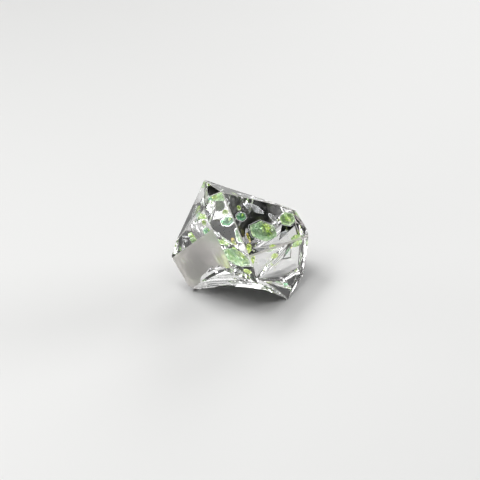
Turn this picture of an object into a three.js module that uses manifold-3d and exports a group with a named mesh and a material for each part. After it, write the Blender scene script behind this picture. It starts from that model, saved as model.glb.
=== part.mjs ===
// Petroleum quartz crystal: one short, thick crystal that ends in faces on all sides,
// lying on a broken foot. The front of the foot is hollowed out by a conchoidal fracture.
// Pockets of petroleum and thin veils of fluid are sealed along a healed crack. The quartz is
// modelled as the two parts in front of and behind that crack, so that each is a recess in both.
// Millimetres, +Z up. The origin is on the ground, under the middle of the crystal's box.
import * as THREE from 'three';
import { ConvexGeometry } from 'three/addons/geometries/ConvexGeometry.js';
import { mergeVertices } from 'three/addons/utils/BufferGeometryUtils.js';
import Module from 'manifold-3d';

const wasm = await Module();
wasm.setup();

// ---- Driving dimensions ----

// The growth centre, from which every face is measured.
const HEART = new THREE.Vector3(-0.07, -1.13, 8);

// Every flat face: the compass bearing that it looks to (degrees, 0 is +Y and 90 is +X),
// how far it looks up from level (degrees), and its distance from the heart (mm).
const FACES = {
  frontPrism: { bearing: 173, rise: 41.5, distance: 6.15 },
  rightPrism: { bearing: 111, rise: 38.5, distance: 3.65 },
  leftPrism: { bearing: 229.5, rise: 4, distance: 6.05 },
  frontLeft: { bearing: 210, rise: -15.5, distance: 4.65 },
  frontRight: { bearing: 121, rise: 8.5, distance: 4.65 },
  leftShoulder: { bearing: 260.5, rise: 25, distance: 7.05 },
  peak: { bearing: 221.5, rise: 74, distance: 8.15 },
  crest: { bearing: 56, rise: 60.5, distance: 5.25 },
  crestBack: { bearing: 14.5, rise: 48, distance: 5.75 },
  noseTip: { bearing: 168, rise: 3, distance: 6.85 },
  backLeft: { bearing: 330.5, rise: 12, distance: 4.8 },
  backRightUpper: { bearing: 39.5, rise: 4, distance: 9.5 },
  backRight: { bearing: 51, rise: -23.5, distance: 9.9 },
  underRight: { bearing: 83.5, rise: -61.5, distance: 9.85 },
  leftUnder: { bearing: 284, rise: -24, distance: 8.85 },
  leftBack: { bearing: 298, rise: 18, distance: 6.6 },
  backFoot: { bearing: 3, rise: -38.5, distance: 9.1 },
  underBack: { bearing: 43.5, rise: -72.5, distance: 9.15 },
  underLeft: { bearing: 236.5, rise: -61, distance: 8.75 },
  foot: { bearing: 0, rise: -90, distance: HEART.z },
};

// The hollow under the front: a domed fracture with ribs around its crown, which lies
// in the open in front of the crystal.
const HOLLOW = {
  crownX: -3.65,
  crownY: -11.8,
  height: 7.4,
  halfWidth: 13.35, // at the ground, along the hollow's own long axis
  halfDepth: 10.9, // at the ground, across that axis
  turn: 49.7, // degrees from +X to the long axis
  ribs: 10,
  ribDepth: 0.1,
  ribsFrom: 0.5, // share of the way from the crown to the ground ring
  rings: 56,
  sides: 132,
};

// A second, smaller fracture that bites into the hollow's left rim. Its flats run lengthwise.
const SCALLOP = {
  from: [-5.3, -2.25, 1.8],
  to: [-0.95, -6.2, 6.2],
  radius: 1.3,
  flats: 17,
};

// Small conchoidal chips along the broken left corner: centre, half-axes, turn about Z.
const CHIPS = [
  { at: [-6.65, -0.75, -0.05], half: [0.4, 0.35, 0.32], turn: 25 },
  { at: [-6.1, -1.3, 0.6], half: [0.35, 0.25, 0.22], turn: -30 },
  { at: [-5.6, -1.6, 1.15], half: [0.32, 0.25, 0.3], turn: 10 },
  { at: [-6.6, 0.15, -0.05], half: [0.3, 0.45, 0.22], turn: -15 },
  { at: [-5.45, -0.35, -0.02], half: [0.45, 0.3, 0.25], turn: 15 },
  { at: [6, -2.75, 0.05], half: [0.25, 0.2, 0.22], turn: 40 },
];

// Long splintery nicks that run up from the hollow's left rim: start, end and half-width.
const NICKS = [
  { from: [-4.75, -2.6, 2.9], to: [-3.4, -4, 5.75], halfWidth: 0.26 },
  { from: [-4.15, -3.1, 3.4], to: [-2.5, -4.7, 6.3], halfWidth: 0.3 },
  { from: [-3.15, -3.75, 4.3], to: [-1.6, -5.2, 6.2], halfWidth: 0.22 },
];

// A groove of parallel growth beside the edge from the peak down to the front prism face,
// and the pit that it ends in.
const GROOVE = { from: [-4.3, -0.6, 15.75], to: [-4.2, -4.4, 14.3], halfWidth: 0.24 };
const PIT = { at: [-4.2, -4.5, 14.25], radius: 0.36 };

// The healed crack, measured from the heart as a face is.
const CRACK = { bearing: 135, rise: 40, distance: -1 };

// Every petroleum pocket: its centre across and up the crack (mm from the crack's own middle),
// its half-axes across, up and through the crack, and its turn in the crack (degrees).
const POCKETS = {
  great: { across: 2.25, up: -0.5, half: [2.6, 1.4, 1], turn: -18 },
  right: { across: 7.7, up: -0.45, half: [1.55, 0.95, 0.7], turn: -6 },
  crest: { across: -0.3, up: 2.35, half: [0.95, 0.58, 0.5], turn: -9 },
  corner: { across: 0.1, up: 3.46, half: [0.4, 0.38, 0.35], turn: 0 },
  amber: { across: -0.9, up: -0.4, half: [0.75, 0.25, 0.25], turn: 80 },
  keel: { across: -1.85, up: -1.6, half: [0.85, 0.5, 0.45], turn: 35 },
  ledge: { across: 2.6, up: -2.8, half: [0.8, 0.36, 0.35], turn: -20 },
  shoulder: { across: 7.5, up: -3.1, half: [1.15, 0.45, 0.4], turn: -6 },
  low: { across: -2.75, up: -0.8, half: [0.6, 0.32, 0.35], turn: 60 },
};

// The veils: thin films of fluid where the crack healed last, given as the pockets are.
const VEILS = {
  crest: { across: 2.6, up: 2.7, half: [2.1, 0.6, 0.04], turn: -35 },
  smear: { across: 5.2, up: 0.4, half: [1.1, 0.45, 0.04], turn: -65 },
  peak: { across: -2.3, up: 4.6, half: [1.5, 0.6, 0.04], turn: 12 },
  right: { across: 5.7, up: -2, half: [1.4, 0.4, 0.04], turn: -4 },
  keel: { across: 0.1, up: -2.5, half: [1.1, 0.4, 0.04], turn: -18 },
  left: { across: -2.6, up: 0.9, half: [1, 0.4, 0.04], turn: 70 },
};

// Both are negative crystals: rounded lenses with six side flats and a flat on each end.
const POCKET_FLATS = { sides: 6, sideReach: 0.86, endReach: 0.84 };
const POCKET_DETAIL = { large: 3, small: 2, largeFrom: 1 }; // steps per edge, large from 1 mm
const FILM = 0.02; // the free film between what a recess holds and the quartz

const QUARTZ = { name: 'quartz', color: 0xe9efe6, roughness: 0.03, metalness: 0 };
const PETROLEUM = { name: 'petroleum', color: 0x6fa24a, roughness: 0.08, metalness: 0 };
const VEIL = { name: 'veil', color: 0xf2f4f5, roughness: 0.25, metalness: 0 };

// ---- Geometry helpers ----

const radians = THREE.MathUtils.degToRad;

function facePlane({ bearing, rise, distance }) {
  const level = Math.cos(radians(rise));
  const normal = new THREE.Vector3(
    Math.sin(radians(bearing)) * level,
    Math.cos(radians(bearing)) * level,
    Math.sin(radians(rise)),
  );
  return new THREE.Plane(normal, -(normal.dot(HEART) + distance));
}

// The point where three planes meet, or null where two of them are nearly parallel.
function corner(a, b, c) {
  const bc = new THREE.Vector3().crossVectors(b.normal, c.normal);
  const ca = new THREE.Vector3().crossVectors(c.normal, a.normal);
  const ab = new THREE.Vector3().crossVectors(a.normal, b.normal);
  const volume = a.normal.dot(bc);
  if (Math.abs(volume) < 1e-4) return null;
  return bc.multiplyScalar(-a.constant)
    .addScaledVector(ca, -b.constant)
    .addScaledVector(ab, -c.constant)
    .divideScalar(volume);
}

// The convex body that lies behind every plane.
function bodyWithin(planes) {
  const corners = [];
  for (let i = 0; i < planes.length; i += 1) {
    for (let j = i + 1; j < planes.length; j += 1) {
      for (let k = j + 1; k < planes.length; k += 1) {
        const point = corner(planes[i], planes[j], planes[k]);
        if (point && planes.every((plane) => plane.distanceToPoint(point) < 1e-6)) corners.push(point);
      }
    }
  }
  return new ConvexGeometry(corners);
}

function toSolid(geometry) {
  const bare = geometry.clone();
  bare.deleteAttribute('normal');
  bare.deleteAttribute('uv');
  const merged = mergeVertices(bare, 1e-4);
  const index = merged.index ?? { array: [...Array(merged.attributes.position.count).keys()] };
  return new wasm.Manifold(new wasm.Mesh({
    numProp: 3,
    vertProperties: Float32Array.from(merged.attributes.position.array),
    triVerts: Uint32Array.from(index.array),
  }));
}

function toGeometry(solid) {
  const mesh = solid.getMesh();
  const geometry = new THREE.BufferGeometry();
  geometry.setAttribute('position', new THREE.BufferAttribute(mesh.vertProperties, 3));
  geometry.setIndex(new THREE.BufferAttribute(mesh.triVerts, 1));
  const faceted = geometry.toNonIndexed();
  faceted.computeVertexNormals();
  return faceted;
}

// ---- Cutters ----

// A rib rises gently away from the crown and drops back in a short step.
function ribHeight(share) {
  const { ribs, ribDepth, ribsFrom } = HOLLOW;
  const along = ((share - ribsFrom) / (1 - ribsFrom)) * ribs;
  const phase = along - Math.floor(along);
  const rise = phase < 0.75 ? phase / 0.75 : (1 - phase) / 0.25;
  const fadeIn = Math.min(1, along / 2);
  return ribDepth * fadeIn * (rise - 0.5);
}

function hollowCutter() {
  const { height, halfWidth, halfDepth, ribsFrom, rings, sides, turn, crownX, crownY } = HOLLOW;
  const outermost = 1.1;
  const below = -height * 0.3;
  const profile = [new THREE.Vector2(0, below), new THREE.Vector2(outermost, below)];
  for (let ring = rings; ring >= 0; ring -= 1) {
    const share = ribsFrom + ((outermost - ribsFrom) * ring) / rings;
    profile.push(new THREE.Vector2(share, height * (1 - share * share) + ribHeight(share)));
  }
  profile.push(new THREE.Vector2(0, height));
  const cutter = new THREE.LatheGeometry(profile, sides);
  cutter.rotateX(Math.PI / 2);
  cutter.scale(halfWidth, halfDepth, 1);
  cutter.rotateZ(radians(turn));
  cutter.translate(crownX, crownY, 0);
  return toSolid(cutter);
}

// Turns a cutter that lies along +Y to run from one point to another, centred between them.
function layAlong(cutter, from, to) {
  const start = new THREE.Vector3(...from);
  const end = new THREE.Vector3(...to);
  const direction = new THREE.Vector3().subVectors(end, start).normalize();
  cutter.applyQuaternion(new THREE.Quaternion().setFromUnitVectors(new THREE.Vector3(0, 1, 0), direction));
  cutter.translate(...start.lerp(end, 0.5).toArray());
  return toSolid(cutter);
}

function lengthOf({ from, to }) {
  return new THREE.Vector3(...from).distanceTo(new THREE.Vector3(...to));
}

function scallopCutter({ from, to, radius, flats }) {
  const stations = 14;
  const halfLength = lengthOf({ from, to }) / 2;
  const profile = [];
  for (let station = 0; station <= stations; station += 1) {
    const angle = Math.PI * (station / stations - 0.5);
    const reach = Math.abs(Math.cos(angle)) < 1e-6 ? 0 : radius * Math.cos(angle);
    profile.push(new THREE.Vector2(reach, halfLength * Math.sin(angle)));
  }
  return layAlong(new THREE.LatheGeometry(profile, flats), from, to);
}

function chipCutter({ at, half, turn }) {
  const cutter = new THREE.IcosahedronGeometry(1, 2);
  cutter.scale(...half);
  cutter.rotateZ(radians(turn));
  cutter.translate(...at);
  return toSolid(cutter);
}

function nickCutter({ from, to, halfWidth }) {
  const cutter = new THREE.IcosahedronGeometry(1, 2);
  cutter.scale(halfWidth, lengthOf({ from, to }) / 2, halfWidth * 0.7);
  return layAlong(cutter, from, to);
}

// A square bar with one corner down, which leaves a V.
function grooveCutter({ from, to, halfWidth }) {
  const side = halfWidth * Math.SQRT2;
  const cutter = new THREE.BoxGeometry(side, lengthOf({ from, to }), side);
  cutter.rotateY(Math.PI / 4);
  return layAlong(cutter, from, to);
}

function pitCutter({ at, radius }) {
  const cutter = new THREE.OctahedronGeometry(radius, 0);
  cutter.rotateZ(radians(20));
  cutter.translate(...at);
  return toSolid(cutter);
}

// ---- Pockets and veils ----

// The frame that the pockets and veils are laid out in: X across the crack, Y up it, Z out of it.
function crackFrame() {
  const out = facePlane(CRACK).normal;
  const across = new THREE.Vector3(-out.y, out.x, 0).normalize();
  const up = new THREE.Vector3().crossVectors(out, across);
  const middle = HEART.clone().addScaledVector(out, CRACK.distance);
  return new THREE.Matrix4().makeBasis(across, up, out).setPosition(middle);
}

// The directions of a negative crystal's flats, each with how far out it lies.
function pocketFlats() {
  const { sides, sideReach, endReach } = POCKET_FLATS;
  const flats = [
    { toward: new THREE.Vector3(0, 0, 1), reach: endReach },
    { toward: new THREE.Vector3(0, 0, -1), reach: endReach },
  ];
  for (let side = 0; side < sides; side += 1) {
    const angle = (2 * Math.PI * side) / sides;
    flats.push({ toward: new THREE.Vector3(Math.cos(angle), Math.sin(angle), 0), reach: sideReach });
  }
  return flats;
}

// One pocket or veil as a solid, with so much room added all round it.
function pocketSolid({ across, up, half, turn }, room) {
  const { large, small, largeFrom } = POCKET_DETAIL;
  const ball = new THREE.IcosahedronGeometry(1, half[0] < largeFrom ? small : large);
  const flats = pocketFlats();
  const place = crackFrame()
    .multiply(new THREE.Matrix4().makeTranslation(across, up, 0))
    .multiply(new THREE.Matrix4().makeRotationZ(radians(turn)))
    .multiply(new THREE.Matrix4().makeScale(...half.map((reach) => reach + room)));
  const points = [];
  for (let index = 0; index < ball.attributes.position.count; index += 1) {
    const point = new THREE.Vector3().fromBufferAttribute(ball.attributes.position, index);
    for (const { toward, reach } of flats) {
      point.addScaledVector(toward, Math.min(0, reach - point.dot(toward)));
    }
    points.push(point.applyMatrix4(place));
  }
  return toSolid(new ConvexGeometry(points));
}

// ---- The crystal ----

function wholeCrystal() {
  const body = toSolid(bodyWithin(Object.values(FACES).map(facePlane)));
  const cutters = [
    hollowCutter(),
    scallopCutter(SCALLOP),
    ...CHIPS.map(chipCutter),
    ...NICKS.map(nickCutter),
    grooveCutter(GROOVE),
    pitCutter(PIT),
  ];
  return cutters.reduce((solid, cutter) => solid.subtract(cutter), body);
}

// All the space in front of the crack.
function spaceInFront() {
  const reach = 40;
  const block = new THREE.BoxGeometry(reach, reach, reach);
  block.translate(0, 0, reach / 2);
  block.applyMatrix4(crackFrame());
  return toSolid(block);
}

const placed = new THREE.Group();

function addNode(name, solid, finish) {
  const node = new THREE.Mesh(toGeometry(solid), new THREE.MeshStandardMaterial(finish));
  node.name = name;
  placed.add(node);
}

const hollowed = [...Object.values(POCKETS), ...Object.values(VEILS)].reduce(
  (solid, pocket) => solid.subtract(pocketSolid(pocket, FILM)),
  wholeCrystal(),
);
addNode('quartz_crystal', hollowed.subtract(spaceInFront()), QUARTZ);
addNode('quartz_crystal_front', hollowed.intersect(spaceInFront()), QUARTZ);
for (const [name, pocket] of Object.entries(POCKETS)) {
  addNode(`petroleum_${name}`, pocketSolid(pocket, 0), PETROLEUM);
}
for (const [name, veil] of Object.entries(VEILS)) {
  addNode(`veil_${name}`, pocketSolid(veil, 0), VEIL);
}

// The heart's rounded place leaves the box a few hundredths off centre.
const box = new THREE.Box3().setFromObject(placed);
const middle = box.getCenter(new THREE.Vector3());
placed.position.set(-middle.x, -middle.y, -box.min.z);

const specimen = new THREE.Group();
specimen.add(placed);

export default specimen;
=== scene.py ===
"""Dresses a petroleum quartz crystal: clear quartz with oil pockets, gas and healed cracks.

Metres, +Z up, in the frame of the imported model.
"""

import math
import random

import bmesh
import bpy
from bpy.props import FloatProperty, FloatVectorProperty, PointerProperty
from mathutils import Matrix, Vector, noise
from mathutils.bvhtree import BVHTree
from mathutils.geometry import intersect_point_line


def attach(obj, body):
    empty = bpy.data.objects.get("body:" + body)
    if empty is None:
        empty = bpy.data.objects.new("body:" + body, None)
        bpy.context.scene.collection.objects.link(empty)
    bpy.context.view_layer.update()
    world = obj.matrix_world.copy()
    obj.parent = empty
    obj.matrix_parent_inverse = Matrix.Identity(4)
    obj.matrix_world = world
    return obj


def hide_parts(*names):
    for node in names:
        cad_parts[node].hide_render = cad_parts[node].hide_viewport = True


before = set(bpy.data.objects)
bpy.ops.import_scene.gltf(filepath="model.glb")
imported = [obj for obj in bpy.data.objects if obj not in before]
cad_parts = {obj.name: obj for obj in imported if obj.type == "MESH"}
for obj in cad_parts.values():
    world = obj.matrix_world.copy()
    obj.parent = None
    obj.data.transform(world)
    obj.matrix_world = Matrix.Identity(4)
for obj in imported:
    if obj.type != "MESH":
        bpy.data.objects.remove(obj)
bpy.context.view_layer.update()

bl_info = {
    "name": "Petroleum Quartz Crystal",
    "version": (1, 0, 0),
    "blender": (4, 5, 0),
    "location": "3D View > Sidebar > Petroleum Quartz",
    "description": "Builds a clear quartz crystal with oil pockets, gas bubbles and healed cracks",
    "category": "Add Mesh",
}

BODY = "root"
QUARTZ_NODES = ("quartz_crystal", "quartz_crystal_front")
POCKET_NODES = tuple(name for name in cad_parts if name.startswith("petroleum_"))
VEIL_NODES = tuple(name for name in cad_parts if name.startswith("veil_"))
MM = 0.001
SAME_PLACE = 0.0001 * MM  # within which two corners of one solid are the same
SAME_RIM = 0.008 * MM  # within which two solids' rims on the healed crack are the same
ON_CUT = 0.0001 * MM  # within which a corner counts as lying on a cut through the crystal
ON_POCKET_CUT = 0.00001 * MM  # and on a cut through a pocket

# The flat faces that get more than plain edge wear: where each looks to, as a compass bearing
# (0 is +Y and 90 is +X) and a rise above level, in degrees.
FACES = {
    "front prism": (173, 41.5),
    "front left": (210, -15.5),
    "right prism": (111, 38.5),
    "front right": (121, 8.5),
    "back crest": (14.5, 48),
    "back left": (330.5, 12),
    "upper back right": (39.5, 4),
    "back right": (51, -23.5),
    "left back": (298, 18),
    "back under": (3, -38.5),
}
FACE_TOLERANCE = math.radians(1)  # within which a face looks where it is said to
GROWTH_FLATNESS = 0.004 * MM  # how far a corner may stand in front of a growth face
ONE_FACE_ANGLE = math.radians(0.6)  # below which two triangles are parts of one face
WORN_ANGLE = math.radians(5)  # from which the edge between two growth faces is worn
RIB_ANGLE = math.radians(12)  # from which two facets of a fracture meet in a sharp rib
# The edges between two growth faces that are cut off deeper than the rest.
WIDE_EDGES = ({"front prism", "right prism"}, {"front right", "right prism"})
WIDE_EDGE_DEPTH = 0.04 * MM

# The crystal's materials after the clear quartz: the satin and the sugary quartz's places.
SATIN = 1
SUGARY = 2
SATIN_FACE = "front left"
# The pale streaks under the satin face: how they lean from upright, how much longer than wide
# they are, and each patch's middle and reach in mm.
STREAK_LEAN = math.radians(-26)
STREAK_STRETCH = 5
STREAKS = (((-2.0, -5.4, 7.6), 1.7), ((-6.6, -1.9, 4.8), 1.3))

# The corner that was crushed to a sugary white where the hollow breaks out: its middle, how far
# the damage reaches, and the splinters that stand up on it, in mm.
CRUSHED_AT = (-5.6, -1.0, 1.1)
CRUSHED_REACH = 1.5
SPLINTERS = 90
SPLINTER_SIZES = (0.05, 0.16)
SPLINTER_CORNERS = 7
SPLINTER_REACH = (0.7, 1)  # how far its corners lie from its middle, as a share of its size
SPLINTER_SPREAD = 0.7  # how far over its facet it may stand, from one edge to the next corner
SPLINTER_SEED = 5

# Growth steps that sink a face towards its middle: inset and sink in mm, from the rim inwards.
GROWTH_STEPS = {
    "back left": ((0.5, 0.05), (0.9, 0.04)),
    "back right": ((0.6, 0.05), (0.8, 0.05)),
    "upper back right": ((0.35, 0.04),),
    "left back": ((0.4, 0.05), (0.3, 0.04)),
    "back crest": ((0.45, 0.04),),
    "back under": (
        (0.5, 0.03), (0.45, 0.17), (0.6, 0.02), (0.35, 0.13), (0.5, 0.02), (0.2, 0.08)
    ),
}
SUNKEN_FACES = ("back right", "upper back right", "left back")
SINK_SHARE = 0.04  # how far the middle of these is sunk, as a share of the face's width

# Where the healed crack looks to on which the two quartz solids meet: bearing and rise, degrees.
CRACK = (135, 40)
ALONG_CRACK = 0.999  # from which cosine on a face looks the way that the crack does
VEIL_HALF_DEPTH = 0.04 * MM  # half of what a veil is thick in its middle
# The seam around a pocket, where the healed crack comes up to it, glows as a painted bright
# outline:
# how much larger than the pocket's own outline it is, and then how wide and how thick, in mm.
SEAMS = {"petroleum_great": 1.14, "petroleum_right": 1.12, "petroleum_crest": 1.2}
SEAM_WIDTH = 0.04
SEAM_DEPTH = 0.02
POCKET_RIM_ANGLE = math.radians(22)  # from which two facets of a pocket meet in a sharp edge

# The colour of the oil in each pocket.
HUE_LAYER = "hue"
HUES = {
    "petroleum_great": (0.22, 0.36, 0.2),
    "petroleum_right": (0.26, 0.4, 0.18),
    "petroleum_crest": (0.09, 0.27, 0.15),
    "petroleum_corner": (0.32, 0.42, 0.12),
    "petroleum_amber": (0.62, 0.42, 0.06),
    "petroleum_keel": (0.62, 0.72, 0.22),
    "petroleum_ledge": (0.5, 0.58, 0.25),
    "petroleum_shoulder": (0.36, 0.5, 0.24),
    "petroleum_low": (0.5, 0.62, 0.22),
}

# The beads of gas and darker oil in each pocket: how many, and where their cluster lies and how
# far it reaches as shares of the pocket's own half-sizes.
BEADS = {
    "petroleum_great": {"count": 130, "middle": (0.35, 0.1, 0.3), "reach": 0.75},
    "petroleum_right": {"count": 90, "middle": (0.1, 0.0, 0.1), "reach": 0.62},
    "petroleum_crest": {"count": 20, "middle": (0.4, 0.1, 0.3), "reach": 0.6},
    "petroleum_corner": {"count": 20, "middle": (0.1, 0.0, 0.1), "reach": 0.9},
    "petroleum_amber": {"count": 14, "middle": (0.1, 0.0, 0.1), "reach": 1.0},
    "petroleum_keel": {"count": 30, "middle": (0.2, 0.0, 0.1), "reach": 1.1},
    "petroleum_ledge": {"count": 18, "middle": (-0.1, 0.0, 0.1), "reach": 1.0},
    "petroleum_shoulder": {"count": 22, "middle": (0.1, 0.0, 0.1), "reach": 1.0},
    "petroleum_low": {"count": 16, "middle": (0.0, 0.0, 0.1), "reach": 1.0},
}
# The oil itself is flecked, with painted glints, around a cluster: fully so to the first share of
# the cluster's reach, and then less and less over the second.
FLECKS_TO = 0.75
FLECKS_FADE = 0.5
BEAD_SIZES = (0.03, 0.12)  # mm, from a bead's middle to its skin
BEAD_ROOM = 1.3  # a bead's distance from the pocket's wall is at least this many times its size
BEAD_RINGS = 5
BEAD_WAVINESS = 0.25
BEAD_SEED = 11
# A wavy lump is a ball that noise pushes in and out: the noise's scale on a ball of radius 1, and
# how far from the noise's middle a lump may take its part of it.
LUMP_NOISE_SCALE = 2.2
LUMP_NOISE_DRIFT = 50

# The trails of fine droplets that the healed crack left below the pockets: the ends of each on
# the crack, in mm, how many droplets it has and how far they stray.
TRAILS = (
    {"start": (-0.6, -2.4, 5.8), "end": (1.5, -1.2, 5.0), "count": 120, "stray": 0.8},
    {"start": (1.5, -1.2, 5.0), "end": (3.2, -0.8, 4.0), "count": 80, "stray": 0.6},
)
DROPLET_SIZES = (0.02, 0.08)  # mm, from a droplet's middle to its rim
DROPLET_SHARE = 0.35  # how thick a droplet is, as a share of how wide it is
DROPLET_CLEARANCE = 2  # how many times its size a droplet stays away from pockets and veils
DROPLET_WAVINESS = 0.35

BUBBLE_AT = (-0.3, 0.15, 0.35)  # as a share of the pocket's own half-sizes
BUBBLE_SHARE = 0.6  # of the room that it has there
BUBBLE_RINGS = 14
BUBBLE_WAVINESS = 0.03


# ---- Settings ----


class QuartzSettings(bpy.types.PropertyGroup):
    edge_depth: FloatProperty(
        name="Edge wear",
        description="How deep the worn strip along each sharp edge is cut",
        default=0.018 * MM,
        min=0,
        unit="LENGTH",
    )
    satin: FloatProperty(
        name="Satin",
        description="Roughness of the satin face and the worn edges",
        default=0.45,
        min=0,
        max=1,
    )
    refractive_index: FloatProperty(
        name="Refractive index",
        description="How strongly the quartz bends light",
        default=1.544,
        min=1,
    )
    tint: FloatVectorProperty(
        name="Tint",
        description="What the quartz lets through",
        default=(0.952, 0.945, 0.947),
        subtype="COLOR",
    )


class PetroleumSettings(bpy.types.PropertyGroup):
    # The glow is painted light: the oil glows in its own colour in place of the light that it
    # scatters.
    glow: FloatProperty(
        name="Glow",
        description="How brightly the light that is scattered in the oil shows",
        default=0.3,
        min=0,
    )
    bubble_index: FloatProperty(
        name="Bubble index",
        description="How strongly the rim of a gas bubble bends light",
        default=1.5,
        min=1,
    )
    core_colour: FloatVectorProperty(
        name="Core",
        description="Colour of the oil's beads",
        default=(0.55, 0.7, 0.16),
        subtype="COLOR",
    )


class VeilSettings(bpy.types.PropertyGroup):
    # Also the colour of the painted light that the veils' rims and the seams glow with.
    sheen: FloatVectorProperty(
        name="Sheen",
        description="Colour of the light that a healed crack throws back",
        default=(0.95, 0.96, 0.98),
        subtype="COLOR",
    )


class StageSettings(bpy.types.PropertyGroup):
    floor_colour: FloatVectorProperty(
        name="Floor",
        description="Colour of the floor",
        default=(0.8, 0.8, 0.79),
        subtype="COLOR",
    )
    camera_rise: FloatProperty(
        name="Camera rise",
        description="How far the camera looks down",
        default=math.radians(30),
        subtype="ANGLE",
    )
    camera_distance: FloatProperty(
        name="Camera distance",
        description="From the camera to the crystal",
        default=250 * MM,
        unit="LENGTH",
    )
    frame_width: FloatProperty(
        name="Frame width",
        description="Width that the camera takes in at the crystal",
        default=60 * MM,
        unit="LENGTH",
    )


# ---- Materials ----


class Value:
    """A shader socket that Python's own signs work on. Each sign adds a Math node."""

    def __init__(self, tree, socket):
        self.tree = tree
        self.socket = socket

    def maths(self, operation, first, second=None, clamp=False):
        settings = {"operation": operation, "use_clamp": clamp}
        inputs = {0: first} if second is None else {0: first, 1: second}
        return self.tree.node("ShaderNodeMath", settings, inputs)["Value"]

    def __add__(self, other):
        return self.maths("ADD", self, other)

    def __sub__(self, other):
        return self.maths("SUBTRACT", self, other)

    def __rsub__(self, other):
        return self.maths("SUBTRACT", other, self)

    def __mul__(self, other):
        return self.maths("MULTIPLY", self, other)

    __radd__ = __add__
    __rmul__ = __mul__

    def fraction(self):
        """What the value has behind its point."""
        return self.maths("FRACT", self)

    def size(self):
        """The same value without its sign."""
        return self.maths("ABSOLUTE", self)

    def within(self):
        """The same value, kept from 0 to 1."""
        return self.maths("ADD", self, 0, clamp=True)


class Outputs:
    """A node's outputs, by name or number, as values."""

    def __init__(self, tree, made):
        self.tree = tree
        self.made = made

    def __getitem__(self, name):
        return Value(self.tree, self.made.outputs[name])


# The sockets of a Mix node that blends colours. They share their names with its other sockets,
# so they are told by number.
MIX_FACTOR, MIX_FIRST, MIX_SECOND, MIXED = 0, 6, 7, 2


class Tree:
    """The nodes of a new material or of the world."""

    def __init__(self, owner):
        owner.use_nodes = True
        self.nodes = owner.node_tree.nodes
        self.links = owner.node_tree.links
        self.nodes.clear()

    def node(self, kind, settings=None, inputs=None):
        """Adds a node: its settings first, and then the values or links of its sockets."""
        made = self.nodes.new(kind)
        for name, value in (settings or {}).items():
            setattr(made, name, value)
        for name, value in (inputs or {}).items():
            if isinstance(value, Value):
                self.links.new(value.socket, made.inputs[name])
            else:
                made.inputs[name].default_value = value
        return Outputs(self, made)

    def vector_maths(self, operation, inputs):
        return self.node("ShaderNodeVectorMath", {"operation": operation}, inputs)

    def mix(self, factor, first, second):
        """A blend of two colours."""
        inputs = {MIX_FACTOR: factor, MIX_FIRST: first, MIX_SECOND: second}
        return self.node("ShaderNodeMix", {"data_type": "RGBA"}, inputs)[MIXED]

    def noise(self, place, scale, detail=2.0, distortion=0.0):
        inputs = {"Vector": place, "Scale": scale, "Detail": detail, "Distortion": distortion}
        return self.node("ShaderNodeTexNoise", {}, inputs)["Fac"]

    def ramp(self, factor, low, high):
        """0 below low and 1 above high."""
        settings = {"interpolation_type": "SMOOTHSTEP"}
        inputs = {"Value": factor, "From Min": low, "From Max": high}
        return self.node("ShaderNodeMapRange", settings, inputs)["Result"]


# The patterns and colours of the materials. A noise's scale is for places in metres, and a range
# is the part of a pattern over which a ramp goes from 0 to 1.
WHITE = (1, 1, 1, 1)
BLACK = (0, 0, 0, 1)

# All quartz.
HILLOCK_NOISE = {"scale": 420, "detail": 1.0}
HILLOCK_RELIEF = {"Strength": 0.12, "Distance": 0.02 * MM}
QUARTZ_DENSITY = 40.0  # how strongly the body of the quartz takes up what its tint doesn't pass

# Satin quartz: its frosted skin and the pale streaks under it, which glow faintly with painted
# light.
STREAK_NOISE = {"scale": 2400, "detail": 3.0}
STREAK_RANGE = (0.5, 0.62)
STREAK_FADE = 0.5  # the share of a patch's reach from which its streaks fade out
FROST = (0.965, 0.94, 0.895, 1)
STREAK = (0.93, 0.97, 0.78, 1)
STREAK_GLOW = (0.8, 0.86, 0.62, 1)

# Sugary quartz: its grains and the painted shade between them. Both glow with painted light, the
# grains white.
SUGAR_NOISE = {"scale": 5200}
SUGAR_RANGE = (0.38, 0.6)
SUGAR_SHADE = (0.72, 0.72, 0.7, 1)
SUGAR_DARK_GLOW = (0.1, 0.1, 0.1, 1)
SUGAR_GLOW = (0.95, 0.95, 0.93, 1)

# Oil: its shades, its pale patches of painted reflection, and the dark flecks and bright painted
# glints around the beads.
SHADE_NOISE = {"scale": 520, "detail": 3.0, "distortion": 0.8}
LEAST_SHADE = 0.25
SHADE_STRENGTH = 1.7
PAINTED_REFLECTION_NOISE = {"scale": 900, "detail": 3.0, "distortion": 1.2}
PAINTED_REFLECTION_RANGE = (0.48, 0.64)
PAINTED_REFLECTION_STRENGTH = 0.85
PAINTED_REFLECTION = (0.8, 0.88, 0.7, 1)
FLECK_NOISE = {"scale": 2200, "distortion": 0.6}
FLECK_RANGE = (0.44, 0.5)
FLECK = (0.03, 0.09, 0.03, 1)
GLINT_RANGE = (0.57, 0.63)
GLINT = (0.9, 0.95, 0.75, 1)

# Beads: most are in the beads' own colour, some are dark and some pale with a painted gleam. All
# glow faintly with painted light.
DARK_BEAD_NOISE = {"scale": 3400}
DARK_BEAD_RANGE = (0.4, 0.46)
DARK_BEAD = (0.02, 0.07, 0.03, 1)
PAINTED_GLEAM_BEAD_NOISE = {"scale": 2600}
PAINTED_GLEAM_BEAD_RANGE = (0.56, 0.66)
PAINTED_GLEAM_BEAD = (0.95, 0.97, 0.7, 1)

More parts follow.
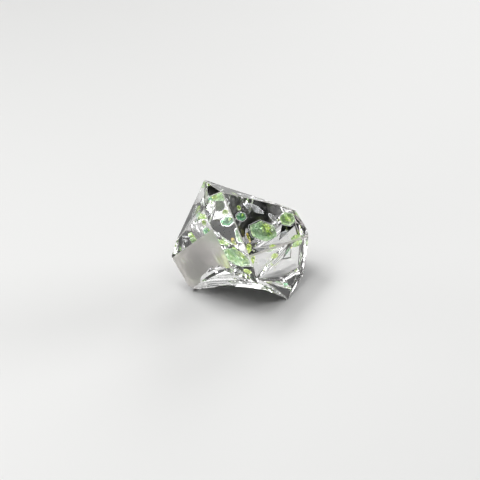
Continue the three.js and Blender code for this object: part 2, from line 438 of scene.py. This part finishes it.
# A veil's film has a level that is high in its middle and ragged towards its rim. It ends where
# the level is low, with a bright line of painted light there, and swirling lines and smears
# cross the rest. The film glows faintly with painted light too.
LEVEL_DOME = 0.8
LEVEL_NOISE = {"scale": 620, "detail": 3.0, "distortion": 0.8}
LEVEL_RAGGEDNESS = 1.7
LEVEL_DROP = 0.72
FILM_RANGE = (0.2, 0.32)
RIM_LEVEL = 0.24
RIM_RANGE = (0.02, 0.06)
SWIRL_NOISE = {"scale": 330, "distortion": 0.9}
SWIRL_LINES = 16
LINE_RANGE = (0.06, 0.2)
SMEAR_NOISE = {"scale": 520, "detail": 4.0, "distortion": 0.8}
SMEAR_RANGE = (0.42, 0.66)
# How much of what is behind them each of these covers.
LINE_COVER = 0.6
SMEAR_COVER = 0.35
FILM_COVER = 0.04
RIM_COVER = 0.8
FILM_GLOW = (0.33, 0.34, 0.34, 1)


def colour(values):
    return (*values, 1)


def finish_with(tree, finish):
    """Ends a material's tree in one shader."""
    surface = tree.node("ShaderNodeBsdfPrincipled", {}, finish)["BSDF"]
    tree.node("ShaderNodeOutputMaterial", {}, {"Surface": surface})


def plain_material(name, finish):
    """A material that is the same all over."""
    material = bpy.data.materials.new(name)
    finish_with(Tree(material), finish)
    return material


def patterned_material(name):
    """A material, its tree, and the place on the object that its patterns follow."""
    material = bpy.data.materials.new(name)
    tree = Tree(material)
    return material, tree, tree.node("ShaderNodeTexCoord")["Object"]


def quartz_material(name, settings, finish):
    """Quartz with faint growth hillocks, whose body takes up a little light.

    What finish returns for the tree and the place sets the shader of its skin.
    """
    material, tree, place = patterned_material(name)
    hillocks = tree.noise(place, **HILLOCK_NOISE)
    relief = tree.node("ShaderNodeBump", {}, {**HILLOCK_RELIEF, "Height": hillocks})["Normal"]
    inputs = {"IOR": settings.refractive_index, "Normal": relief, **finish(tree, place)}
    surface = tree.node("ShaderNodeBsdfPrincipled", {}, inputs)["BSDF"]
    inputs = {"Color": colour(settings.tint), "Density": QUARTZ_DENSITY}
    body = tree.node("ShaderNodeVolumeAbsorption", {}, inputs)["Volume"]
    tree.node("ShaderNodeOutputMaterial", {}, {"Surface": surface, "Volume": body})
    return material


def clear_quartz_material(settings):
    finish = {"Base Color": WHITE, "Roughness": 0, "Transmission Weight": 1}
    return quartz_material("clear_quartz", settings, lambda tree, place: finish)


def satin_quartz_material(settings):
    """Quartz whose skin is finely frosted, with patches of pale streaks under it that glow with
    painted light.
    """

    def finish(tree, place):
        lie = {"Rotation": (0, STREAK_LEAN, 0), "Scale": (1, 1, STREAK_STRETCH)}
        kind = {"vector_type": "TEXTURE"}
        lengthways = tree.node("ShaderNodeMapping", kind, {"Vector": place, **lie})["Vector"]
        patches = 0
        for middle, reach in STREAKS:
            away = tree.vector_maths("DISTANCE", {0: place, 1: Vector(middle) * MM})["Value"]
            patches = patches + (1 - tree.ramp(away, reach * MM * STREAK_FADE, reach * MM))
        streak = tree.ramp(tree.noise(lengthways, **STREAK_NOISE), *STREAK_RANGE) * patches
        return {
            "Base Color": tree.mix(streak, FROST, STREAK),
            "Roughness": settings.satin,
            "Transmission Weight": 0.5,
            # The streaks glow faintly: painted light.
            "Emission Color": tree.mix(streak, BLACK, STREAK_GLOW),
            "Emission Strength": 0.4,
        }

    return quartz_material("satin_quartz", settings, finish)


def crushed_quartz_material(settings):
    """Quartz crushed so finely that it throws light back, as sugar does; it also glows with
    painted light.
    """

    def finish(tree, place):
        grains = tree.ramp(tree.noise(place, **SUGAR_NOISE), *SUGAR_RANGE)
        return {
            "Base Color": tree.mix(grains, SUGAR_SHADE, WHITE),
            "Roughness": 0.35,
            "Transmission Weight": 0.35,
            # The grains glow white and the painted shade between them faintly: painted light.
            "Emission Color": tree.mix(grains, SUGAR_DARK_GLOW, SUGAR_GLOW),
            "Emission Strength": 0.45,
        }

    return quartz_material("crushed_quartz", settings, finish)


def oil_material(settings):
    """Oil in each pocket's own colour, with painted pale reflections, flecked and with painted
    glints where its beads gather.
    """
    material, tree, place = patterned_material("petroleum")
    stored = tree.node("ShaderNodeAttribute", {"attribute_name": HUE_LAYER})
    shade = LEAST_SHADE + tree.noise(place, **SHADE_NOISE) * SHADE_STRENGTH
    deep = tree.vector_maths("SCALE", {0: stored["Color"], "Scale": shade})["Vector"]
    painted_reflection = tree.ramp(tree.noise(place, **PAINTED_REFLECTION_NOISE), *PAINTED_REFLECTION_RANGE) * PAINTED_REFLECTION_STRENGTH
    smooth = tree.mix(painted_reflection, deep, PAINTED_REFLECTION)
    grain = tree.noise(place, **FLECK_NOISE)
    flecks = tree.mix(tree.ramp(grain, *FLECK_RANGE), FLECK, colour(settings.core_colour))
    glints = tree.mix(tree.ramp(grain, *GLINT_RANGE), flecks, GLINT)
    hue = tree.mix(stored["Alpha"], smooth, glints)
    finish_with(tree, {
        "Base Color": hue,
        "Roughness": 0.03,
        "IOR": 1.4,
        "Transmission Weight": 0.9,
        # The oil glows in its own colour: painted light in place of the light that it scatters.
        "Emission Color": hue,
        "Emission Strength": settings.glow,
    })
    return material


# Gas and oil beads, the pale ones with a painted gleam, all glowing faintly with painted light.
def bead_material(settings):
    material, tree, place = patterned_material("gas_and_oil_beads")
    dark = tree.ramp(tree.noise(place, **DARK_BEAD_NOISE), *DARK_BEAD_RANGE)
    # pale: the beads that carry a painted gleam.
    pale = tree.ramp(tree.noise(place, **PAINTED_GLEAM_BEAD_NOISE), *PAINTED_GLEAM_BEAD_RANGE)
    hue = tree.mix(pale, tree.mix(dark, DARK_BEAD, colour(settings.core_colour)), PAINTED_GLEAM_BEAD)
    finish_with(tree, {
        "Base Color": hue,
        "Roughness": 0.08,
        "IOR": 1.3,
        "Transmission Weight": 0.5,
        "Emission Color": hue,
        "Emission Strength": 0.45,
    })
    return material


def bubble_material(settings):
    return plain_material("gas_bubble", {
        "Base Color": WHITE,
        "Roughness": 0,
        "IOR": settings.bubble_index,
        "Transmission Weight": 1,
    })


def veil_material(settings):
    """A ragged film of fine bubbles, which ends before the veil's thin rim; both glow with painted
    light.
    """
    material, tree, place = patterned_material("healed_crack")
    along = tree.vector_maths("DOT_PRODUCT", {0: place, 1: looking(*CRACK)})["Value"]
    depth = (along - crack_reach()).size() * (1 / VEIL_HALF_DEPTH)
    raggedness = tree.noise(place, **LEVEL_NOISE) * LEVEL_RAGGEDNESS
    level = depth * depth * LEVEL_DOME + raggedness - LEVEL_DROP
    film = tree.ramp(level, *FILM_RANGE)
    rim = 1 - tree.ramp((level - RIM_LEVEL).size(), *RIM_RANGE)
    swirl = (tree.noise(place, **SWIRL_NOISE) * SWIRL_LINES).fraction()
    lines = 1 - tree.ramp((swirl - 0.5).size(), *LINE_RANGE)
    smear = tree.ramp(tree.noise(place, **SMEAR_NOISE), *SMEAR_RANGE)
    crossed = lines * smear * LINE_COVER + smear * SMEAR_COVER + FILM_COVER
    sheen = colour(settings.sheen)
    finish_with(tree, {
        "Base Color": sheen,
        "Metallic": 1,
        "Roughness": 0.22,
        "Alpha": (film * crossed + rim * RIM_COVER).within(),
        # The rim glows brightly in the sheen colour and the film faintly: painted light.
        "Emission Color": tree.mix(rim, FILM_GLOW, sheen),
        "Emission Strength": 1,
    })
    return material


# A ring that glows in the sheen colour: painted light, a bright outline.
def painted_light_seam_material(settings):
    return plain_material("painted_light_seam", {
        "Base Color": colour(settings.sheen),
        "Metallic": 1,
        "Roughness": 0.2,
        "Emission Color": colour(settings.sheen),
        "Emission Strength": 0.8,
    })


def floor_material(settings):
    finish = {"Base Color": colour(settings.floor_colour), "Roughness": 0.6}
    return plain_material("pale_floor", finish)


# ---- Meshes ----


def finish_piece(name, mesh_bm, materials):
    """Makes the piece from its bmesh, gives it its materials and lets it ride with the crystal."""
    mesh = bpy.data.meshes.new(name)
    mesh_bm.to_mesh(mesh)
    mesh_bm.free()
    for material in materials:
        mesh.materials.append(material)
    piece = bpy.data.objects.new(name, mesh)
    bpy.context.scene.collection.objects.link(piece)
    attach(piece, BODY)
    return piece


def join_into(bm, part):
    """Adds one bmesh to another and frees it."""
    mesh = bpy.data.meshes.new("part")
    part.to_mesh(mesh)
    part.free()
    bm.from_mesh(mesh)
    bpy.data.meshes.remove(mesh)


def merged_solids(names):
    """One bmesh of some of the frame's solids, with each solid's loose triangles joined."""
    bm = bmesh.new()
    for name in names:
        solid = bmesh.new()
        solid.from_mesh(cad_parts[name].data)
        bmesh.ops.remove_doubles(solid, verts=solid.verts, dist=SAME_PLACE)
        join_into(bm, solid)
    bm.normal_update()
    return bm


def tree_of(names):
    """The surface of some of the frame's solids, to find the nearest place on."""
    solids = merged_solids(names)
    surface = BVHTree.FromBMesh(solids)
    solids.free()
    return surface


def looking(bearing, rise):
    """The direction of a compass bearing, where 0 is +Y and 90 is +X, and a rise above level."""
    turn, lift = math.radians(bearing), math.radians(rise)
    level = math.cos(lift)
    return Vector((math.sin(turn) * level, math.cos(turn) * level, math.sin(lift)))


def crack_reach():
    """How far the healed crack lies from the origin, along the direction that it looks to."""
    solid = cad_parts[QUARTZ_NODES[0]].data
    facing = looking(*CRACK)
    on_crack = [face for face in solid.polygons if face.normal.dot(facing) > ALONG_CRACK]
    return max(on_crack, key=lambda face: face.area).center.dot(facing)


def random_direction(rng):
    return Vector([rng.gauss(0, 1) for _ in range(3)]).normalized()


# ---- The quartz ----


def shell_of(start):
    """Every face that is joined to one face, edge by edge."""
    shell = {start}
    front = [start]
    while front:
        face = front.pop()
        beside = {other for edge in face.edges for other in edge.link_faces} - shell
        shell |= beside
        front.extend(beside)
    return shell


def weld_rims(bm):
    """Makes one of two open rims that run along each other, once each has the other's corners.

    The corners are taken in a fixed order, so that each run gives the same mesh.
    """
    rim = [edge for edge in bm.edges if edge.is_boundary]
    for vert in dict.fromkeys(vert for edge in rim for vert in edge.verts):
        for edge in rim:
            start, end = edge.verts
            nearest, share = intersect_point_line(vert.co, start.co, end.co)
            apart = min((vert.co - start.co).length, (vert.co - end.co).length)
            if 0 < share < 1 and (nearest - vert.co).length < SAME_RIM < apart:
                rim.append(bmesh.utils.edge_split(edge, start, share)[0])
    corners = [vert for vert in bm.verts if vert.is_boundary]
    bmesh.ops.remove_doubles(bm, verts=corners, dist=SAME_RIM)


def heal_crack(bm):
    """Makes one skin of the two quartz solids.

    It opens the wall between them and drops the recesses for the pockets and veils.
    """
    facing, reach = looking(*CRACK), crack_reach()

    def on_wall(face):
        return all(abs(vert.co.dot(facing) - reach) < SAME_RIM / 2 for vert in face.verts)

    wall = [face for face in bm.faces if on_wall(face)]
    bmesh.ops.delete(bm, geom=wall, context="FACES")
    weld_rims(bm)
    skin = shell_of(max(bm.faces, key=lambda face: face.calc_center_median().z))
    recesses = [face for face in bm.faces if face not in skin]
    bmesh.ops.delete(bm, geom=recesses, context="FACES")
    if not all(edge.is_manifold for edge in bm.edges):
        raise RuntimeError("the quartz has a hole along its healed crack")


def looks_to(face, name):
    return face.normal.dot(looking(*FACES[name])) > math.cos(FACE_TOLERANCE)


def face_named(bm, name):
    """The largest part of one of the crystal's flat faces."""
    parts = [face for face in bm.faces if looks_to(face, name)]
    return max(parts, key=lambda face: face.calc_area())


def outer_faces(bm):
    """The flat growth faces. The whole crystal lies behind each, unlike behind a fracture's."""
    places = [vert.co.copy() for vert in bm.verts]

    def farthest(face):
        return max(face.normal.dot(place - face.verts[0].co) for place in places)

    return {face for face in bm.faces if farthest(face) < GROWTH_FLATNESS}


def cut_flat(bm, point, facing):
    """Cuts away what lies beyond a plane, closes the cut with flat faces and returns them."""
    everything = bm.verts[:] + bm.edges[:] + bm.faces[:]
    cut = bmesh.ops.bisect_plane(
        bm, geom=everything, dist=ON_CUT, plane_co=point, plane_no=facing, clear_outer=True
    )
    rim = [part for part in cut["geom_cut"] if isinstance(part, bmesh.types.BMEdge)]
    return bmesh.ops.holes_fill(bm, edges=rim)["faces"]


def wear_edges(bm, outer, depth):
    """Cuts a narrow strip along each edge between two growth faces, as wear leaves it."""
    strips = []
    for edge in bm.edges:
        if outer.issuperset(edge.link_faces) and edge.calc_face_angle() > WORN_ANGLE:
            names = {name for face in edge.link_faces for name in FACES if looks_to(face, name)}
            facing = sum((face.normal for face in edge.link_faces), Vector()).normalized()
            cut = WIDE_EDGE_DEPTH if names in WIDE_EDGES else depth
            strips.append((edge.verts[0].co - facing * cut, facing))
    for point, facing in strips:
        for face in cut_flat(bm, point, facing):
            face.material_index = SATIN


def crushed_faces(bm):
    """The fracture's facets on the crushed corner."""
    middle, reach = Vector(CRUSHED_AT) * MM, CRUSHED_REACH * MM
    broken = [face for face in bm.faces if face.smooth]
    return [face for face in broken if (face.calc_center_median() - middle).length < reach]


def crystal_bmesh(settings):
    """A merged copy of the quartz solids, with worn edges and growth steps on its back."""
    bm = merged_solids(QUARTZ_NODES)
    heal_crack(bm)
    bmesh.ops.dissolve_limit(bm, angle_limit=ONE_FACE_ANGLE, verts=bm.verts, edges=bm.edges)
    bm.normal_update()
    outer = outer_faces(bm)
    for face in bm.faces:
        face.smooth = face not in outer
    for edge in bm.edges:
        inner = all(face.smooth for face in edge.link_faces)
        edge.smooth = inner and edge.calc_face_angle(0) < RIB_ANGLE
    wear_edges(bm, outer, settings.edge_depth)
    bm.normal_update()
    face_named(bm, SATIN_FACE).material_index = SATIN
    for face in crushed_faces(bm):
        face.material_index = SUGARY
    for name, steps in GROWTH_STEPS.items():
        face = face_named(bm, name)
        for inset, sink in steps:
            bmesh.ops.inset_individual(bm, faces=[face], thickness=inset * MM, depth=-sink * MM)
        if name in SUNKEN_FACES:
            bmesh.ops.poke(bm, faces=[face], offset=-SINK_SHARE * math.sqrt(face.calc_area()))
    return bm


def add_splinter(bm, place, size, rng):
    """A small angular splinter of quartz."""
    splinter = bmesh.new()
    for _ in range(SPLINTER_CORNERS):
        away = random_direction(rng) * size * rng.uniform(*SPLINTER_REACH)
        splinter.verts.new(place + away)
    bmesh.ops.convex_hull(splinter, input=splinter.verts)
    join_into(bm, splinter)


def splinters_bmesh(facets):
    """Splinters that stand up all over some facets, and clear of the ground."""
    rng = random.Random(SPLINTER_SEED)
    bm = bmesh.new()
    for _ in range(SPLINTERS):
        corners = [vert.co for vert in rng.choice(facets).verts]
        along = corners[0].lerp(corners[1], rng.random())
        place = along.lerp(corners[2], rng.random() * SPLINTER_SPREAD)
        size = rng.uniform(*SPLINTER_SIZES) * MM
        if place.z > size:
            add_splinter(bm, place, size, rng)
    return bm


# ---- The oil and the gas ----


def oil_bmesh():
    """A merged copy of the pockets, with the colour of each and where its flecks and painted
    glints lie.
    """
    bm = bmesh.new()
    hue = bm.verts.layers.float_color.new(HUE_LAYER)
    for name in POCKET_NODES:
        before = len(bm.verts)
        join_into(bm, merged_solids((name,)))
        bm.verts.ensure_lookup_table()
        middle, reach = cluster_place(name)
        for vert in bm.verts[before:]:
            away = ((vert.co - middle).length / reach - FLECKS_TO) / FLECKS_FADE
            vert[hue] = (*HUES[name], 1 - min(1, max(0, away)))
    for face in bm.faces:
        face.smooth = True
    for edge in bm.edges:
        edge.smooth = edge.calc_face_angle(0) < POCKET_RIM_ANGLE
    return bm


def add_lump(bm, place, rng, rings, waviness):
    """A closed lump: a ball with a wavy skin, placed by a matrix."""
    lump = bmesh.new()
    bmesh.ops.create_uvsphere(lump, u_segments=rings + 2, v_segments=rings, radius=1)
    drift = Vector([rng.uniform(-LUMP_NOISE_DRIFT, LUMP_NOISE_DRIFT) for _ in range(3)])
    for vert in lump.verts:
        vert.co *= 1 + waviness * noise.noise(vert.co * LUMP_NOISE_SCALE + drift)
    for face in lump.faces:
        face.smooth = True
    bmesh.ops.transform(lump, matrix=place, verts=lump.verts)
    join_into(bm, lump)


def round_place(place, size):
    return Matrix.Translation(place) @ Matrix.Diagonal((size, size, size, 1))


def flat_place(place, size):
    """The same for a lump that is squeezed flat on the healed crack."""
    lie = looking(*CRACK).to_track_quat("Z", "Y").to_matrix().to_4x4()
    flat = Matrix.Diagonal((size, size, size * DROPLET_SHARE, 1))
    return Matrix.Translation(place) @ lie @ flat


def pocket_box(name):
    """The middle of the box around a pocket, and half of the box's size."""
    places = [vert.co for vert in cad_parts[name].data.vertices]
    low = Vector(min(place[axis] for place in places) for axis in range(3))
    high = Vector(max(place[axis] for place in places) for axis in range(3))
    return (low + high) / 2, (high - low) / 2


def cluster_place(name):
    """Where the beads in a pocket gather, and how far they reach from there."""
    middle, half = pocket_box(name)
    cluster = BEADS[name]
    return middle + half * Vector(cluster["middle"]), min(half) * cluster["reach"]


def bubble_place(name):
    """Where the one large gas bubble of a pocket floats: in its upper part."""
    middle, half = pocket_box(name)
    return middle + half * Vector(BUBBLE_AT)


def room_inside(name):
    """How far a place inside a pocket is from the pocket's wall, as a function."""
    wall = tree_of((name,))

    def room(place):
        nearest, facing, _, _ = wall.find_nearest(place)
        return (nearest - place).dot(facing)

    return room


def add_cluster(bm, name, rng):
    """The beads of gas and darker oil in one pocket."""
    middle, reach = cluster_place(name)
    room = room_inside(name)
    for _ in range(BEADS[name]["count"]):
        place = middle + random_direction(rng) * rng.uniform(0, reach)
        size = min(rng.uniform(*BEAD_SIZES) * MM, room(place) / BEAD_ROOM)
        if size > BEAD_SIZES[0] * MM / 2:
            add_lump(bm, round_place(place, size), rng, BEAD_RINGS, BEAD_WAVINESS)


def add_trail(kinds, trail, taken, rng):
    """A trail of droplets of several kinds on the healed crack, clear of pockets and veils."""
    facing, reach = looking(*CRACK), crack_reach()
    start, end = Vector(trail["start"]) * MM, Vector(trail["end"]) * MM
    for _ in range(trail["count"]):
        stray = random_direction(rng) * rng.uniform(0, trail["stray"]) * MM
        place = start.lerp(end, rng.random()) + stray
        place += facing * (reach - place.dot(facing))
        size = rng.uniform(*DROPLET_SIZES) * MM
        nearest = taken.find_nearest(place)[0]
        if (nearest - place).length > DROPLET_CLEARANCE * size:
            kind = rng.choice(kinds)
            add_lump(kind, flat_place(place, size), rng, BEAD_RINGS, DROPLET_WAVINESS)


# ---- The healed cracks ----


def add_seam(bm, name, share):
    """A thin flat ring on the healed crack around a pocket, in the shape of its outline."""
    facing = looking(*CRACK)
    outline = merged_solids((name,))
    bmesh.ops.bisect_plane(
        outline,
        geom=outline.verts[:] + outline.edges[:] + outline.faces[:],
        dist=ON_POCKET_CUT,
        plane_co=facing * crack_reach(),
        plane_no=facing,
        clear_outer=True,
        clear_inner=True,
    )
    sheet = bmesh.ops.contextual_create(outline, geom=outline.edges[:])["faces"]
    about = Matrix.Translation(-sheet[0].calc_center_median())
    bmesh.ops.scale(outline, vec=(share, share, share), space=about, verts=outline.verts)
    bmesh.ops.inset_individual(outline, faces=sheet, thickness=SEAM_WIDTH * MM)
    bmesh.ops.delete(outline, geom=sheet, context="FACES")
    thick = bmesh.ops.extrude_face_region(outline, geom=outline.faces[:])["geom"]
    raised = [part for part in thick if isinstance(part, bmesh.types.BMVert)]
    bmesh.ops.translate(outline, vec=facing * SEAM_DEPTH * MM, verts=raised)
    bmesh.ops.recalc_face_normals(outline, faces=outline.faces)
    join_into(bm, outline)


# ---- The stage ----


FLOOR_HALF_WIDTH = 2  # metres
FLOOR_HEIGHT = -0.02 * MM  # just below the crystal, so that the two don't share a face
CAMERA_TARGET = (-0.07, -1.13, 7.85)  # mm
CAMERA_REACH = (0.01, 10)  # metres: the nearest and the farthest that it sees
LIGHT_AIM = (0, 0, 7)  # mm
FILL_COLOUR = (0.97, 0.98, 1, 1)  # of the faint light from all around
FILL_STRENGTH = 0.03
# The soft panels, all at one distance from the crystal, which they look at: azimuth (0 is in
# front, -Y, and 90 is on the right, +X) and rise in degrees, width and height in mm, radiance.
SOFTBOX_DISTANCE = 250
SOFTBOXES = {
    "softbox_right": (105, 20, 125, 70, 8.6),
    "softbox_upper_left": (-112, 57, 110, 80, 8.6),
    "softbox_top": (-45, 76, 96, 70, 7.4),
    "softbox_front_left": (-62, 55, 110, 80, 4.1),
    "softbox_low_left": (-45, 5, 133, 57, 6.8),
    "softbox_front": (5, 5, 200, 57, 2.2),
    "softbox_upper_front": (22, 57, 110, 80, 2.8),
    "softbox_left": (-100, 16, 125, 100, 1.4),
    "softbox_back": (164, 25, 125, 150, 2.6),
}
# How often light may bend and mirror on its way through the crystal's many facets. Light that
# a dull surface has scattered isn't followed to another one.
BOUNCES = {
    "max_bounces": 48,
    "transmission_bounces": 24,
    "glossy_bounces": 24,
    "diffuse_bounces": 0,
}


def facing_back(away):
    """The turn of a lamp or a camera that stands in a direction and looks back from there."""
    return away.to_track_quat("Z", "Y").to_matrix().to_4x4()


def add_floor(settings):
    bm = bmesh.new()
    bmesh.ops.create_grid(bm, x_segments=1, y_segments=1, size=FLOOR_HALF_WIDTH)
    bmesh.ops.translate(bm, vec=(0, 0, FLOOR_HEIGHT), verts=bm.verts)
    mesh = bpy.data.meshes.new("floor")
    bm.to_mesh(mesh)
    bm.free()
    mesh.materials.append(floor_material(settings))
    floor = bpy.data.objects.new("floor", mesh)
    bpy.context.scene.collection.objects.link(floor)


def add_softbox(name, azimuth, rise, width, height, radiance):
    away = looking(180 - azimuth, rise)
    panel = bpy.data.lights.new(name, "AREA")
    panel.shape = "RECTANGLE"
    panel.size = width * MM
    panel.size_y = height * MM
    panel.energy = radiance * math.pi * panel.size * panel.size_y
    lamp = bpy.data.objects.new(name, panel)
    place = (Vector(LIGHT_AIM) + away * SOFTBOX_DISTANCE) * MM
    lamp.matrix_world = Matrix.Translation(place) @ facing_back(away)
    bpy.context.scene.collection.objects.link(lamp)


def add_camera(settings):
    rise = settings.camera_rise
    away = Vector((0, -math.cos(rise), math.sin(rise)))
    lens = bpy.data.cameras.new("camera")
    lens.lens = lens.sensor_width * settings.camera_distance / settings.frame_width
    lens.clip_start, lens.clip_end = CAMERA_REACH
    camera = bpy.data.objects.new("camera", lens)
    place = Vector(CAMERA_TARGET) * MM + away * settings.camera_distance
    camera.matrix_world = Matrix.Translation(place) @ facing_back(away)
    bpy.context.scene.collection.objects.link(camera)
    bpy.context.scene.camera = camera


def studio_world():
    world = bpy.data.worlds.new("studio")
    tree = Tree(world)
    inputs = {"Color": FILL_COLOUR, "Strength": FILL_STRENGTH}
    fill = tree.node("ShaderNodeBackground", {}, inputs)["Background"]
    tree.node("ShaderNodeOutputWorld", {}, {"Surface": fill})
    return world


# ---- Operators ----


class QUARTZ_OT_crystal(bpy.types.Operator):
    """Dress the crystal in clear quartz"""

    bl_idname = "quartz.crystal"
    bl_label = "Clear quartz"

    def execute(self, context):
        settings = context.scene.petroleum_quartz_crystal
        clear, satin = clear_quartz_material(settings), satin_quartz_material(settings)
        sugary = crushed_quartz_material(settings)
        crystal = crystal_bmesh(settings)
        splinters = splinters_bmesh(crushed_faces(crystal))
        piece = finish_piece("clear_quartz", crystal, (clear, satin, sugary))
        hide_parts(*QUARTZ_NODES)
        finish_piece("corner_splinters", splinters, (sugary,))
        return {"FINISHED"}


class QUARTZ_OT_pockets(bpy.types.Operator):
    """Fill the crystal's pockets with petroleum, beads and gas"""

    bl_idname = "quartz.pockets"
    bl_label = "Petroleum pockets"

    def execute(self, context):
        settings = context.scene.petroleum_quartz_oil
        oil = oil_material(settings)
        piece = finish_piece("petroleum_pockets", oil_bmesh(), (oil,))
        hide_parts(*POCKET_NODES)

        rng = random.Random(BEAD_SEED)
        beads, bubbles = bmesh.new(), bmesh.new()
        for name in BEADS:
            add_cluster(beads, name, rng)
        taken = tree_of(POCKET_NODES + VEIL_NODES)
        for trail in TRAILS:
            add_trail((beads, bubbles, bubbles), trail, taken, rng)
        for name in POCKET_NODES:
            place = bubble_place(name)
            size = room_inside(name)(place) * BUBBLE_SHARE
            add_lump(bubbles, round_place(place, size), rng, BUBBLE_RINGS, BUBBLE_WAVINESS)
        finish_piece("gas_and_oil_beads", beads, (bead_material(settings),))
        finish_piece("gas_bubbles", bubbles, (bubble_material(settings),))
        return {"FINISHED"}


class QUARTZ_OT_veils(bpy.types.Operator):
    """Lay the healed cracks through the crystal"""

    bl_idname = "quartz.veils"
    bl_label = "Healed cracks"

    def execute(self, context):
        settings = context.scene.petroleum_quartz_veils
        veils = merged_solids(VEIL_NODES)
        for face in veils.faces:
            face.smooth = True
        piece = finish_piece("healed_cracks", veils, (veil_material(settings),))
        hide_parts(*VEIL_NODES)

        seams = bmesh.new()
        for name, share in SEAMS.items():
            add_seam(seams, name, share)
        finish_piece("painted_light_seams", seams, (painted_light_seam_material(settings),))
        return {"FINISHED"}


class QUARTZ_OT_stage(bpy.types.Operator):
    """Set up the floor, the lights and the camera"""

    bl_idname = "quartz.stage"
    bl_label = "Stage"

    def execute(self, context):
        settings = context.scene.petroleum_quartz_stage
        add_floor(settings)
        for name, box in SOFTBOXES.items():
            add_softbox(name, *box)
        add_camera(settings)
        context.scene.world = studio_world()
        context.scene.view_settings.view_transform = "Standard"
        for name, count in BOUNCES.items():
            setattr(context.scene.cycles, name, count)
        return {"FINISHED"}


class QUARTZ_PT_sidebar(bpy.types.Panel):
    bl_idname = "QUARTZ_PT_sidebar"
    bl_label = "Petroleum Quartz"
    bl_space_type = "VIEW_3D"
    bl_region_type = "UI"
    bl_category = "Petroleum Quartz"

    def draw(self, context):
        for operator, settings, _ in SECTIONS:
            self.layout.operator(operator.bl_idname)
            group = getattr(context.scene, settings)
            for name in group.bl_rna.properties.keys():
                if name not in ("rna_type", "name"):
                    self.layout.prop(group, name)


# Each operator, with the name and the kind of its settings on the scene.
SECTIONS = (
    (QUARTZ_OT_crystal, "petroleum_quartz_crystal", QuartzSettings),
    (QUARTZ_OT_pockets, "petroleum_quartz_oil", PetroleumSettings),
    (QUARTZ_OT_veils, "petroleum_quartz_veils", VeilSettings),
    (QUARTZ_OT_stage, "petroleum_quartz_stage", StageSettings),
)
OPERATORS, SETTINGS_NAMES, GROUPS = zip(*SECTIONS)
CLASSES = (*GROUPS, *OPERATORS, QUARTZ_PT_sidebar)


def register():
    for made in CLASSES:
        bpy.utils.register_class(made)
    for name, group in zip(SETTINGS_NAMES, GROUPS):
        setattr(bpy.types.Scene, name, PointerProperty(type=group))


def unregister():
    for name in SETTINGS_NAMES:
        delattr(bpy.types.Scene, name)
    for made in reversed(CLASSES):
        bpy.utils.unregister_class(made)


def main():
    register()
    bpy.ops.quartz.crystal()
    bpy.ops.quartz.pockets()
    bpy.ops.quartz.veils()
    bpy.ops.quartz.stage()


if __name__ == "__main__":
    main()
